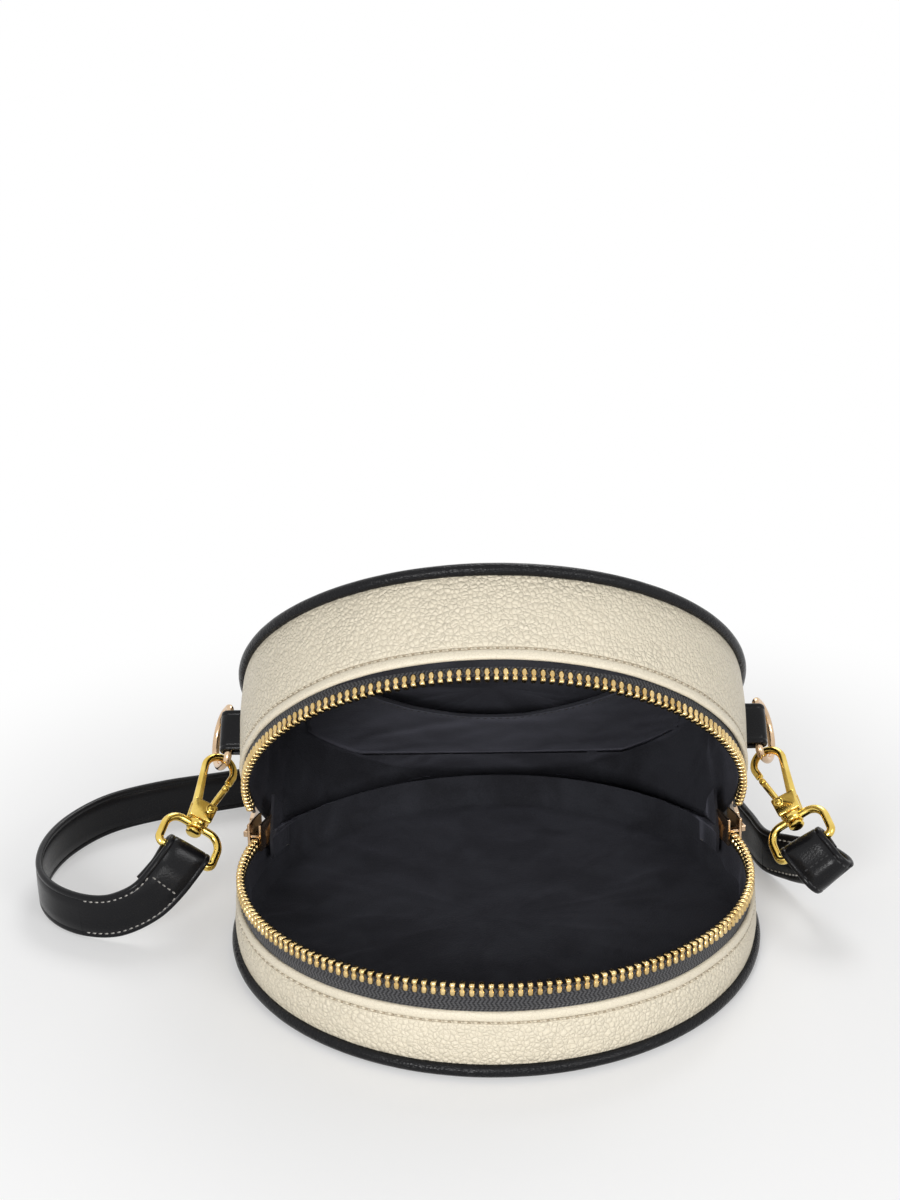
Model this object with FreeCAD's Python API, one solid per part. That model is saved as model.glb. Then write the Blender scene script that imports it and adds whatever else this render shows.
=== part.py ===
import FreeCAD, Part
import math
import os

os.makedirs("parts", exist_ok=True)
V = FreeCAD.Vector

# Driving dimensions, in millimetres and degrees. X is right, Y is away from the mouth, Z is up.
# The back shell lies on the floor. The front shell is drawn shut, then swung open about the hinge line.
bag_radius = 100.0
bag_depth = 81.0
bead_radius = 2.3
bead_lift = 0.2
leather = 1.8
panel_leather = 1.6
board = 1.4
fabric = 0.8
board_margin = 5.0
open_angle = 48.0
hinge_z = 11.1
floor_clearance = 5.4

# Zip line: a plane that slopes a little toward the hinge.
rim_height = 28.3
rim_slope = 4.0
row_gap = 1.6
tape_reveal = 7.5
tape_thickness = 0.8
tape_edge = 2.6
tape_ease = 0.02
tape_tail_angle = 3.5
tooth_depth = 4.4
tooth_radial = 3.2
tooth_width = 1.7
tooth_pitch_angle = 1.92
back_row_short_angle = 3.5
front_row_short_angle = 11.0

# Slip pocket on the front lining.
pocket_margin = 8.7
pocket_gap = 2.2
pocket_seam = 1.2
pocket_mouth_y = -22.0
pocket_mouth_sag = 14.0
pocket_floor_margin = 20.0

# Zip sliders and their pulls.
slider_past_hinge = 1.683
slider_half_angle = 3.6
slider_plate = 1.0
slider_clearance = 0.25
slider_below = 5.0
slider_above = 6.0
post_low = 0.3
post_high = 1.3
post_near_angle = 1.6
post_far_angle = 3.2
bridge_height = 3.2
bridge_wall = 0.7
bridge_half_angle = 1.5
bridge_hole_half_angle = 0.75
bridge_half_width = 1.1
pull_wire = 0.65
pull_half_width = 2.6
pull_loop = 5.0
pull_length = 17.0
pull_thickness = 1.5
pull_plate_half_width = 3.4

# D-rings on their leather tabs.
tab_angle = 0.0
tab_below_front = 22.0
tab_width = 16.8
tab_leather = 1.6
tab_stand_off = 6.2
ring_wire = 1.5
ring_clearance = 0.3
ring_half_length = 11.5
ring_leg = 6.0
ring_corner = 3.0
ring_swing = 65.0
hook_seat = 9.0

# Snap hooks, measured along the hook from the foot of its block.
hook_wire = 1.5
bow_radius = 6.0
bow_centre = 24.5
seat_play = 0.9
block_half_width = 4.5
block_top_half_width = 5.0
block_height = 8.0
block_thickness = 5.4
spine_foot = 3.0
nose_drop = 4.0
slot_width = 2.6
slot_start = 3.0
slot_reach = 0.8
rivet_radius = 1.1
rivet_across = 2.4
rivet_station = 5.6
gate_wire = 1.3
gate_tongue = 2.0
gate_boss = 1.9
gate_clearance = 0.25
gate_gap = 0.9
neck_radius = 1.7
neck_clearance = 0.3
collar_radius = 3.5
collar_height = 4.0
collar_play = 0.4
button_radius = 3.0
button_height = 1.4

# Eyes that hold the strap.
eye_wire = 1.6
eye_half_width = 11.8
eye_drop = 13.4
eye_corner = 6.0
bar_corner = 2.4
hook_lean = (0.253, -0.858, -0.449)
bar_hint = (0.77, 0.0, 0.64)

# Shoulder strap.
strap_width = 18.0
strap_thickness = 3.0
fold_clearance = 0.3
strap_floor = 0.4

# Soft gusset fold behind the zip ends.
fold_start_angle = 17.5
fold_step = 12.0
fold_leather = 1.5
fold_inset = 1.65
fold_overhang = 0.1
fold_rise = 2.0

large = 400.0
half_turn = 180.0
quarter_turn = 90.0
full_turn = 360.0

X_AXIS = V(1, 0, 0)
Z_AXIS = V(0, 0, 1)
ORIGIN = V(0, 0, 0)
bead_circle = bag_radius - bead_radius
wall_outer = bead_circle - fabric / 2
wall_inner = wall_outer - leather
lining_inner = wall_inner - fabric
tooth_radius = wall_inner
pocket_radius = lining_inner - pocket_margin
pocket_floor_y = pocket_radius - pocket_floor_margin
tab_height = bag_depth - tab_below_front
# The hinge stands where the open front shell's piping comes to rest on the floor.
bead_height = bead_radius + bead_lift
bead_above_hinge = bag_depth - bead_height - hinge_z
bead_drop = hinge_z - bead_height + bead_above_hinge * math.cos(math.radians(open_angle))
hinge_y = bead_circle - bead_drop / math.sin(math.radians(open_angle))
hinge_point = V(0, hinge_y, hinge_z)
# The sliders stop beside the hinge line, and the rows, the tape and the soft fold end near them.
slider_angle = math.degrees(math.asin((hinge_y + slider_past_hinge) / tooth_radius))
back_row_end = slider_angle - back_row_short_angle
front_row_end = slider_angle - front_row_short_angle
tape_tail = slider_angle + tape_tail_angle
fold_start = slider_angle + fold_start_angle
opening = FreeCAD.Placement(ORIGIN, FreeCAD.Rotation(X_AXIS, -open_angle), hinge_point)
rim_frame = FreeCAD.Placement(V(0, 0, rim_height), FreeCAD.Rotation(X_AXIS, -rim_slope))


def save(name, shape):
    """Write one node as a STEP file."""
    shape.exportStep("parts/" + name + ".step")


def placed(shape, placement):
    """A copy of a shape carried by a placement."""
    out = shape.copy()
    out.Placement = placement.multiply(out.Placement)
    return out


def opened(shape):
    """Carry a shape of the shut front shell to its open place."""
    return placed(shape, opening)


def flat_face(points):
    """A face in the XZ plane from radius and height pairs."""
    corners = [V(r, 0, z) for r, z in points]
    return Part.Face(Part.makePolygon(corners + corners[:1]))


def box_face(r0, r1, z0, z1):
    return flat_face([(r0, z0), (r1, z0), (r1, z1), (r0, z1)])


def turned(face, start=0.0, sweep=full_turn):
    """Revolve a face about Z from a start angle, counted from +X."""
    body = face.revolve(ORIGIN, Z_AXIS, sweep)
    body.rotate(ORIGIN, Z_AXIS, start)
    return body


def bead_face(height):
    """Section of the piping."""
    edge = Part.makeCircle(bead_radius, V(bead_circle, 0, height), V(0, 1, 0))
    return Part.Face(Part.Wire(edge))


def half_space(placement, above):
    """A large block above or below the XY plane of a placement."""
    block = Part.makeBox(large, large, large)
    block.translate(V(-large / 2, -large / 2, 0 if above else -large))
    return placed(block, placement)


def rim_plane(offset):
    """The zip plane moved along its own normal."""
    return rim_frame.multiply(FreeCAD.Placement(V(0, 0, offset), FreeCAD.Rotation()))


def mirrored(shape):
    return shape.mirror(ORIGIN, X_AXIS)


def both_sides(name, right):
    """Save the right piece and its mirror image."""
    save("right_" + name, right)
    save("left_" + name, mirrored(right))


def round_path(corners, radii):
    """A closed flat wire through the corners, each rounded by its own radius."""
    edges = []
    marks = []
    count = len(corners)
    for i, here in enumerate(corners):
        before = (corners[i - 1] - here).normalize()
        after = (corners[(i + 1) % count] - here).normalize()
        half = before.getAngle(after) / 2
        radius = radii[i]
        back = radius / math.tan(half)
        middle = (before + after).normalize()
        bulge = radius / math.sin(half) - radius
        marks.append((here + before * back, here + middle * bulge, here + after * back))
    for i, (start, top, end) in enumerate(marks):
        edges.append(Part.Arc(start, top, end).toShape())
        following = marks[(i + 1) % count][0]
        if following.distanceToPoint(end) > Part.Vertex(end).Tolerance:
            edges.append(Part.makeLine(end, following))
    return Part.Wire(edges)


def rod(path, radius):
    """A round bar along a wire."""
    first = path.Edges[0]
    start = first.valueAt(first.FirstParameter)
    along = first.tangentAt(first.FirstParameter)
    profile = Part.Wire(Part.makeCircle(radius, start, along))
    return path.makePipeShell([profile], True, True)


def frame_of(origin, across, along):
    """A placement with its X on across and its Z on along."""
    z = V(along).normalize()
    x = (across - z * across.dot(z)).normalize()
    y = z.cross(x)
    matrix = FreeCAD.Matrix(
        x.x, y.x, z.x, origin.x, x.y, y.y, z.y, origin.y, x.z, y.z, z.z, origin.z, 0, 0, 0, 1
    )
    return FreeCAD.Placement(matrix)


# Back shell: panel, board, lining, gusset and piping, all about the bag's axis.
back_bead = bead_face(bead_height)
back_panel = box_face(0, bead_circle, 0, panel_leather).cut(back_bead)
back_panel = min(back_panel.Faces, key=lambda f: f.CenterOfMass.x)
save("back_panel", turned(back_panel))
save("back_piping", turned(back_bead))
board_top = panel_leather + board
save("back_board", turned(box_face(0, lining_inner - board_margin, panel_leather, board_top)))
lining_low = [
    (0, board_top),
    (lining_inner - board_margin, board_top),
    (lining_inner - board_margin, panel_leather),
    (wall_inner, panel_leather),
    (wall_inner, bag_depth / 2),
    (lining_inner, bag_depth / 2),
    (lining_inner, board_top + fabric),
    (0, board_top + fabric),
]
above_back_edge = half_space(rim_plane(-tape_reveal), True)
lining_low = max(flat_face(lining_low).cut(back_bead).Faces, key=lambda f: f.Area)
save("back_lining", turned(lining_low).cut(above_back_edge))
wall_low = box_face(wall_inner, wall_outer, panel_leather, bag_depth / 2).cut(back_bead)
wall_low = max(wall_low.Faces, key=lambda f: f.Area)
back_gusset = turned(wall_low).cut(above_back_edge)
save("back_gusset", back_gusset)

# Front shell, drawn shut: the same build turned over.
front_face = bag_depth - panel_leather
front_bead = bead_face(bag_depth - bead_height)
front_panel = box_face(0, bead_circle, front_face, bag_depth).cut(front_bead)
front_panel = min(front_panel.Faces, key=lambda f: f.CenterOfMass.x)
save("front_panel", opened(turned(front_panel)))
save("front_piping", opened(turned(front_bead)))
board_low = front_face - board
save("front_board", opened(turned(box_face(0, lining_inner - board_margin, board_low, front_face))))
lining_face = board_low - fabric
lining_high = [
    (0, board_low),
    (lining_inner - board_margin, board_low),
    (lining_inner - board_margin, front_face),
    (wall_inner, front_face),
    (wall_inner, 0),
    (lining_inner, 0),
    (lining_inner, lining_face),
    (0, lining_face),
]
below_front_edge = half_space(rim_plane(row_gap + tape_reveal), False)
floor_plane = FreeCAD.Placement(V(0, 0, floor_clearance), FreeCAD.Rotation())
below_floor = half_space(opening.inverse().multiply(floor_plane), False)


def front_wall(face):
    """Trim a front wall at the zip edge, and where the open shell would meet the floor."""
    return opened(turned(face).cut(below_front_edge).cut(below_floor))


lining_high = max(flat_face(lining_high).cut(front_bead).Faces, key=lambda f: f.Area)
save("front_lining", front_wall(lining_high))
wall_high = box_face(wall_inner, wall_outer, 0, front_face).cut(front_bead)
wall_high = max(wall_high.Faces, key=lambda f: f.Area)
save("front_gusset", front_wall(wall_high))

# Slip pocket: a fabric panel sewn round its edge, open along a sagging mouth.
pocket_low = lining_face - pocket_gap - fabric
pocket = Part.makeCylinder(pocket_radius, pocket_gap + fabric, V(0, 0, pocket_low))
hollow_radius = pocket_radius - pocket_seam
hollow = Part.makeCylinder(hollow_radius, pocket_gap, V(0, 0, lining_face - pocket_gap))
seam_y = pocket_floor_y - pocket_seam
floor_block = Part.makeBox(large, large, large, V(-large / 2, seam_y, 0))
pocket = pocket.cut(hollow.cut(floor_block))
pocket = pocket.cut(Part.makeBox(large, large, large, V(-large / 2, pocket_floor_y, 0)))
mouth = Part.Arc(
    V(-pocket_radius, pocket_mouth_y - pocket_mouth_sag, 0),
    V(0, pocket_mouth_y + pocket_mouth_sag, 0),
    V(pocket_radius, pocket_mouth_y - pocket_mouth_sag, 0),
).toShape()
far_left = V(-pocket_radius, -large, 0)
far_right = V(pocket_radius, -large, 0)
left_end = V(-pocket_radius, pocket_mouth_y - pocket_mouth_sag, 0)
right_end = V(pocket_radius, pocket_mouth_y - pocket_mouth_sag, 0)
mouth_wire = Part.Wire(
    [
        mouth,
        Part.makeLine(right_end, far_right),
        Part.makeLine(far_right, far_left),
        Part.makeLine(far_left, left_end),
    ]
)
pocket = pocket.cut(Part.Face(mouth_wire).extrude(V(0, 0, bag_depth)))
save("slip_pocket", opened(pocket))


# Zip: tapes and separate metal teeth on the sloping rim.
tape_in = tooth_radius - tape_thickness / 2
tape_out = tooth_radius + tape_thickness / 2


def zip_tape(end_angle, low, high):
    face = box_face(tape_in, tape_out, low, high)
    return placed(turned(face, -half_turn - end_angle, half_turn + 2 * end_angle), rim_frame)


def zip_teeth(end_angle, tip, foot, tape_limit):
    """A row of clamped teeth from one end angle round the front to the other."""
    inner = tooth_radius - tooth_radial / 2
    outer = tooth_radius + tooth_radial / 2
    section = [
        (inner, foot),
        (tape_in - tape_ease, foot),
        (tape_in - tape_ease, tape_limit),
        (tape_out + tape_ease, tape_limit),
        (tape_out + tape_ease, foot),
        (outer, foot),
        (outer, tip),
        (inner, tip),
    ]
    tooth = flat_face(section).extrude(V(0, tooth_width, 0))
    tooth.translate(V(0, -tooth_width / 2, 0))
    span = half_turn + 2 * end_angle
    count = int(span / tooth_pitch_angle) + 1
    start = -quarter_turn - (count - 1) * tooth_pitch_angle / 2
    row = []
    for i in range(count):
        one = tooth.copy()
        one.rotate(ORIGIN, Z_AXIS, start + i * tooth_pitch_angle)
        row.append(one)
    return placed(Part.makeCompound(row), rim_frame)


save("back_zip_tape", zip_tape(tape_tail, -tape_reveal, -tape_edge))
save("back_zip_teeth", zip_teeth(back_row_end, 0, -tooth_depth, -tape_edge))
front_tape = zip_tape(front_row_end, row_gap + tape_edge, row_gap + tape_reveal)
front_teeth = zip_teeth(front_row_end, row_gap, row_gap + tooth_depth, row_gap + tape_edge)
save("front_zip_tape", opened(front_tape))
save("front_zip_teeth", opened(front_teeth))

# Sliders: two plates joined by a post that runs in the gap between the rows.
plate_in = tooth_radius - tooth_radial / 2 - slider_clearance
plate_out = tooth_radius + tooth_radial / 2 + slider_clearance


def sector(r0, r1, low, high, start, end):
    return turned(box_face(r0, r1, low, high), start, end - start)


bridge_top = plate_out + slider_plate + bridge_height
bridge_mid = plate_out + slider_plate + (bridge_height - bridge_wall) / 2
slider_start = slider_angle - slider_half_angle
slider_end = slider_angle + slider_half_angle
post_start = slider_angle - post_far_angle
post_end = slider_angle - post_near_angle
slider = sector(plate_in - slider_plate, plate_in, -slider_below, slider_above, slider_start, slider_end)
slider = slider.fuse(
    sector(plate_out, plate_out + slider_plate, -slider_below, slider_above, slider_start, slider_end)
)
slider = slider.fuse(sector(plate_in, plate_out, post_low, post_high, post_start, post_end))
bridge = sector(
    plate_out + slider_plate,
    bridge_top,
    -bridge_half_width,
    bridge_half_width,
    slider_angle - bridge_half_angle,
    slider_angle + bridge_half_angle,
)
bridge_hole = sector(
    plate_out + slider_plate,
    bridge_top - bridge_wall,
    -bridge_height,
    bridge_height,
    slider_angle - bridge_hole_half_angle,
    slider_angle + bridge_hole_half_angle,
)
slider = slider.fuse(bridge.cut(bridge_hole)).removeSplitter()
both_sides("slider", placed(slider, rim_frame))

# Pulls: a wire loop through the bridge and a plate, lying straight back.
pivot_x = bridge_mid * math.cos(math.radians(slider_angle))
pivot_y = bridge_mid * math.sin(math.radians(slider_angle))
pull_corners = [
    V(0, 0, -pull_half_width),
    V(0, pull_loop, -pull_half_width),
    V(0, pull_loop, pull_half_width),
    V(0, 0, pull_half_width),
]
pull = rod(round_path(pull_corners, [pull_wire + fabric / 2] * len(pull_corners)), pull_wire)
plate = Part.makeBox(
    pull_thickness,
    pull_length,
    2 * pull_plate_half_width,
    V(-pull_thickness / 2, pull_loop - pull_wire, -pull_plate_half_width),
)
plate_edges = [e for e in plate.Edges if e.BoundBox.YLength + e.BoundBox.ZLength < e.BoundBox.XLength]
plate = plate.makeFillet(pull_thickness, plate_edges)
pull = pull.fuse(plate).removeSplitter()
pull.translate(V(pivot_x, pivot_y, 0))
both_sides("pull", placed(pull, rim_frame))

# Tabs and D-rings, drawn shut on the right.
bar_radius = wall_outer + tab_stand_off
bar_centre = V(bar_radius, 0, tab_height)
loop_in = ring_wire + ring_clearance
loop_out = loop_in + tab_leather
tab = Part.makeCylinder(loop_out, tab_width, V(bar_radius, 0, tab_height - tab_width / 2))
legs = Part.makeBox(
    tab_stand_off + leather,
    2 * loop_in,
    tab_width,
    V(wall_outer - leather, -loop_in, tab_height - tab_width / 2),
)
tab = tab.fuse(legs)
tab = tab.cut(Part.makeCylinder(loop_in, bag_depth, V(bar_radius, 0, 0)))
tab = tab.cut(Part.makeCylinder(wall_outer, bag_depth)).removeSplitter()
tab.rotate(ORIGIN, Z_AXIS, tab_angle)
both_sides("tab", opened(tab))

# The ring lies in a plane through its bar; its own X runs from the bar to the bow.
corner_turn = math.radians(quarter_turn / 2)
inset = ring_corner * (1 - math.cos(corner_turn))
ring_edges = [
    Part.makeLine(V(0, 0, -ring_half_length + ring_corner), V(0, 0, ring_half_length - ring_corner)),
    Part.Arc(
        V(0, 0, ring_half_length - ring_corner),
        V(inset, 0, ring_half_length - inset),
        V(ring_corner, 0, ring_half_length),
    ).toShape(),
    Part.makeLine(V(ring_corner, 0, ring_half_length), V(ring_leg, 0, ring_half_length)),
    Part.Arc(
        V(ring_leg, 0, ring_half_length),
        V(ring_leg + ring_half_length, 0, 0),
        V(ring_leg, 0, -ring_half_length),
    ).toShape(),
    Part.makeLine(V(ring_leg, 0, -ring_half_length), V(ring_corner, 0, -ring_half_length)),
    Part.Arc(
        V(ring_corner, 0, -ring_half_length),
        V(inset, 0, -ring_half_length + inset),
        V(0, 0, -ring_half_length + ring_corner),
    ).toShape(),
]
d_ring = rod(Part.Wire(ring_edges), ring_wire)
d_ring.rotate(ORIGIN, Z_AXIS, ring_swing)
d_ring.translate(bar_centre)
d_ring.rotate(ORIGIN, Z_AXIS, tab_angle)
both_sides("d_ring", opened(d_ring))

# Where the hook's bow takes the ring, and the hook's own frame: Z runs from eye to bow, X across the bow.
seat_drop = math.sqrt(ring_half_length**2 - (hook_seat - ring_leg) ** 2)
swing = math.radians(ring_swing)
seat = bar_centre + V(hook_seat * math.cos(swing), hook_seat * math.sin(swing), -seat_drop)
seat = opening.multVec(seat)
seat_station = bow_centre + bow_radius - hook_wire - ring_wire - seat_play
ring_out = opening.Rotation.multVec(V(math.cos(swing), math.sin(swing), 0))
lean = V(*hook_lean).normalize()
hook_origin = seat + lean * seat_station
hook_frame = frame_of(hook_origin, lean.cross(ring_out), lean * -1)
eye_frame = frame_of(hook_origin, V(*bar_hint), lean * -1)

# Hook body: a tapered block, the spine, the bow and its nose.
spine_out = bow_radius - spine_foot
tangent = math.asin(spine_out / math.hypot(bow_centre - block_height, spine_out))
top = bow_centre + bow_radius
nose_x = -bow_radius + nose_drop * math.sin(tangent)
spine_path = Part.Wire(
    [
        Part.makeLine(V(spine_foot, 0, block_height - hook_wire), V(bow_radius, 0, bow_centre)),
        Part.Arc(V(bow_radius, 0, bow_centre), V(0, 0, top), V(-bow_radius, 0, bow_centre)).toShape(),
        Part.makeLine(V(-bow_radius, 0, bow_centre), V(nose_x, 0, bow_centre - nose_drop)),
    ]
)
block_points = [
    (-block_half_width, 0),
    (block_half_width, 0),
    (block_top_half_width, block_height),
    (-block_top_half_width, block_height),
]
block = flat_face(block_points).extrude(V(0, block_thickness, 0))
block.translate(V(0, -block_thickness / 2, 0))
slot = Part.makeBox(
    block_top_half_width + slot_reach + leather,
    slot_width,
    block_height,
    V(-block_top_half_width - leather, -slot_width / 2, slot_start),
)
block = block.cut(slot)
rivet_end = V(-rivet_across, -block_thickness / 2, rivet_station)
rivet = Part.makeCylinder(rivet_radius, block_thickness, rivet_end, V(0, 1, 0))
neck_length = collar_height + 2 * collar_play
neck = Part.makeCylinder(neck_radius, neck_length, V(0, 0, -neck_length))
button = Part.makeCylinder(button_radius, button_height, V(0, 0, -neck_length - button_height))
spine = rod(spine_path, hook_wire)
hook = block.fuse([spine, rivet, neck, button]).removeSplitter()
both_sides("hook", placed(hook, hook_frame))

# Gate: a tongue on the rivet and a rod up to the nose.
gate_foot = V(-rivet_across, 0, rivet_station)
gate_top = V(nose_x, 0, bow_centre - nose_drop - gate_gap)
gate_way = (gate_top - gate_foot).normalize()
rod_foot = gate_foot + gate_way * (block_height - rivet_station + gate_boss)
boss_end = V(-rivet_across, -gate_tongue / 2, rivet_station)
boss = Part.makeCylinder(gate_boss, gate_tongue, boss_end, V(0, 1, 0))
tongue_side = V(gate_way.z, 0, -gate_way.x) * gate_wire
tongue_face = Part.Face(
    Part.makePolygon(
        [
            gate_foot + tongue_side,
            rod_foot + tongue_side,
            rod_foot - tongue_side,
            gate_foot - tongue_side,
            gate_foot + tongue_side,
        ]
    )
)
tongue = tongue_face.extrude(V(0, gate_tongue, 0))
tongue.translate(V(0, -gate_tongue / 2, 0))
gate_rod = Part.makeCylinder(gate_wire, (gate_top - rod_foot).Length, rod_foot, gate_way)
gate = boss.fuse([tongue, gate_rod])
pin_hole = Part.makeCylinder(rivet_radius + gate_clearance, block_thickness, rivet_end, V(0, 1, 0))
gate = gate.cut(pin_hole).removeSplitter()
both_sides("gate", placed(gate, hook_frame))

# Eye: a rounded frame with the collar the hook's neck turns in.
collar_middle = -collar_play - collar_height / 2
bar_station = collar_middle - eye_drop
eye_corners = [
    V(-eye_half_width, 0, bar_station),
    V(eye_half_width, 0, bar_station),
    V(eye_half_width, 0, collar_middle),
    V(-eye_half_width, 0, collar_middle),
]
eye = rod(round_path(eye_corners, [bar_corner, bar_corner, eye_corner, eye_corner]), eye_wire)
collar = Part.makeCylinder(collar_radius, collar_height, V(0, 0, collar_middle - collar_height / 2))
eye = eye.fuse(collar)
eye = eye.cut(Part.makeCylinder(neck_radius + neck_clearance, eye_drop, V(0, 0, -eye_drop + fabric)))
both_sides("eye", placed(eye.removeSplitter(), eye_frame))

# Strap: two halves that meet behind the bag, each from the fold on its eye to the meeting point.
fold_in = eye_wire + fold_clearance
fold_out = fold_in + strap_thickness
bar_middle = eye_frame.multVec(V(0, 0, bar_station))
bar_way = eye_frame.Rotation.multVec(X_AXIS)
stand = strap_floor + strap_width / 2
# Each station: x, y, z of the middle line, then the way the strap's width points.
right_stations = [
    (122.3, -1.9, 25.5, 0.75, -0.04, 0.65),
    (124.5, -3.33, 23.4, 0.70, 0.0, 0.71),
    (126.7, -1.92, 21.25, 0.70, 0.0, 0.71),
    (127.3, 1.3, 20.6, 0.70, 0.0, 0.71),
    (123.5, 14.0, 17.5, 0.50, 0.10, 0.86),
    (116.0, 27.0, 12.8, 0.20, 0.05, 0.98),
    (108.0, 40.0, stand, 0, 0, 1),
    (103.5, 56.0, stand, 0, 0, 1),
    (97.0, 78.0, stand, 0, 0, 1),
    (84.0, 104.0, stand, 0, 0, 1),
    (60.0, 124.0, stand, 0, 0, 1),
    (31.0, 135.0, stand, 0, 0, 1),
    (0.0, 138.5, stand, 0, 0, 1),
]
left_stations = [
    (-123.5, -1.5, 23.5, -0.75, -0.10, 0.65),
    (-132.0, -6.5, 16.5, -0.50, -0.10, 0.86),
    (-143.5, -8.0, 11.0, -0.20, 0.0, 0.98),
    (-157.0, -4.5, stand, 0, 0, 1),
    (-170.0, 5.0, stand, 0, 0, 1),
    (-178.0, 20.0, stand, 0, 0, 1),
    (-179.5, 40.0, stand, 0, 0, 1),
    (-174.0, 60.0, stand, 0, 0, 1),
    (-161.0, 78.0, stand, 0, 0, 1),
    (-140.0, 90.0, stand, 0, 0, 1),
    (-115.0, 98.0, stand, 0, 0, 1),
    (-88.0, 108.0, stand, 0, 0, 1),
    (-60.0, 122.0, stand, 0, 0, 1),
    (-31.0, 134.0, stand, 0, 0, 1),
    (0.0, 138.5, stand, 0, 0, 1),
]


def strap_half(bar, way, stations):
    """A flat band through its stations, with a fold round the eye's bar."""
    first = V(*stations[0][:3])
    run = (first - bar).normalize()
    middles = [bar + run * fold_out * math.cos(math.radians(quarter_turn / 2))]
    widths = [way]
    for row in stations:
        middles.append(V(*row[:3]))
        widths.append(V(*row[3:]).normalize())
    wires = []
    last = len(middles) - 1
    for i, middle in enumerate(middles):
        along = middles[min(i + 1, last)] - middles[max(i - 1, 0)]
        if i == last:
            along = X_AXIS if along.x > 0 else X_AXIS * -1
        wide = (widths[i] - along * (widths[i].dot(along) / along.dot(along))).normalize()
        thick = along.cross(wide).normalize()
        half_wide = wide * (strap_width / 2)
        half_thick = thick * (strap_thickness / 2)
        corners = [
            middle - half_wide - half_thick,
            middle + half_wide - half_thick,
            middle + half_wide + half_thick,
            middle - half_wide + half_thick,
        ]
        wires.append(Part.makePolygon(corners + corners[:1]))
    band = Part.makeLoft(wires, True, True)
    foot = bar - way * (strap_width / 2)
    fold = Part.makeCylinder(fold_out, strap_width, foot, way)
    bore = Part.makeCylinder(fold_in, 2 * strap_width, bar - way * strap_width, way)
    return band.fuse(fold).cut(bore)


save("right_strap", strap_half(bar_middle, bar_way, right_stations))
left_bar = V(-bar_middle.x, bar_middle.y, bar_middle.z)
left_way = V(-bar_way.x, bar_way.y, bar_way.z)
save("left_strap", strap_half(left_bar, left_way, left_stations))

# Base gusset: the soft fold from the back wall's edge to the front shell's edge, behind the zip ends.
slope = math.tan(math.radians(rim_slope))


def wall_top(y):
    """Height of the back gusset's cut edge."""
    return rim_height - tape_reveal / math.cos(math.radians(rim_slope)) - y * slope


def front_edge(y):
    """Height, shut, of the front gusset's lower edge."""
    zip_edge = rim_height + (row_gap + tape_reveal) / math.cos(math.radians(rim_slope)) - y * slope
    turn = math.radians(open_angle)
    drop = hinge_z - floor_clearance
    floor_edge = hinge_z + ((y - hinge_y) * math.sin(turn) - drop) / math.cos(turn)
    return max(zip_edge, floor_edge)


def facets(ring, following):
    """Triangles between two rings of the same count of points, split alike on both sides."""
    faces = []
    for i in range(len(ring)):
        j = (i + 1) % len(ring)
        trios = [[ring[i], ring[j], following[j]], [ring[i], following[j], following[i]]]
        if ring[0].x > 0:
            trios = [[ring[i], ring[j], following[i]], [ring[j], following[j], following[i]]]
        for trio in trios:
            faces.append(Part.Face(Part.makePolygon(trio + trio[:1])))
    return faces


sections = []
fold_count = round((half_turn - 2 * fold_start) / fold_step)
for i in range(fold_count + 1):
    angle = fold_start + (half_turn - 2 * fold_start) * i / fold_count
    turn = math.radians(angle)
    around = V(math.cos(turn), math.sin(turn), 0)
    inner = around * wall_inner
    outer = around * (wall_outer / math.cos(math.radians(fold_step / 2)) + fold_overhang)
    inner.z = wall_top(inner.y)
    outer.z = wall_top(outer.y)
    reach = around * (lining_inner - fold_inset)
    reach.z = min(front_edge(reach.y) + fold_rise, lining_face - fold_leather)
    foot = opening.multVec(reach)
    side = V(-math.sin(turn), math.cos(turn), 0)
    up = (foot - outer).cross(side).normalize() * fold_leather
    crest = inner + V(0, 0, fold_leather)
    top = outer + up + V(0, 0, fold_leather - up.z)
    sections.append([inner, outer, foot - up / 2, foot + up / 2, top, crest])
fold_faces = []
for ring, following in zip(sections, sections[1:]):
    fold_faces += facets(ring, following)
for ring in (sections[0], sections[-1]):
    inner, outer, *rest = ring
    rest.append(inner)
    for first, second in zip(rest, rest[1:]):
        trio = [outer, first, second] if ring is sections[-1] else [outer, second, first]
        fold_faces.append(Part.Face(Part.makePolygon(trio + trio[:1])))
base_gusset = Part.Solid(Part.Shell(fold_faces))
if base_gusset.Volume < 0:
    base_gusset = base_gusset.reversed()
save("base_gusset", base_gusset)
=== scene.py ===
import bmesh
import bpy
import math
from mathutils import Matrix, Vector, noise


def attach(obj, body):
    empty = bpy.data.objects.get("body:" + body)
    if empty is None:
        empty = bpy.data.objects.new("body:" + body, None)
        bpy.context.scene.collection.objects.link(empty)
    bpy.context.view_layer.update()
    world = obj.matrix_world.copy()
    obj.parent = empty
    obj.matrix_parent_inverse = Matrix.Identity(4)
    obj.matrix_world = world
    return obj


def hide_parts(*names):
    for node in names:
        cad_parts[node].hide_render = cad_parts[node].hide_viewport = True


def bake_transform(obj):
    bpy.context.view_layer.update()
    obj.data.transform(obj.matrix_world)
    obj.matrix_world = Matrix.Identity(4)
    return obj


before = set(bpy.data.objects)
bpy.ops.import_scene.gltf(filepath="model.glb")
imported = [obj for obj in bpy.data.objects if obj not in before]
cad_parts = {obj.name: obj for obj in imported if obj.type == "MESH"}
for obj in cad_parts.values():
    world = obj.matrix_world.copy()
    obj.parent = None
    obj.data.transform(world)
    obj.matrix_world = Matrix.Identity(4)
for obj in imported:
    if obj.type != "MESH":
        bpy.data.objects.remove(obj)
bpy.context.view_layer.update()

# Sizes in millimetres and degrees, as in the part's source. Meshes are made in metres.
MM = 0.001
bag_depth = 81.0
bead_circle = 97.7
bead_radius = 2.3
bead_height = 2.5
wall_outer = 97.3
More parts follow.
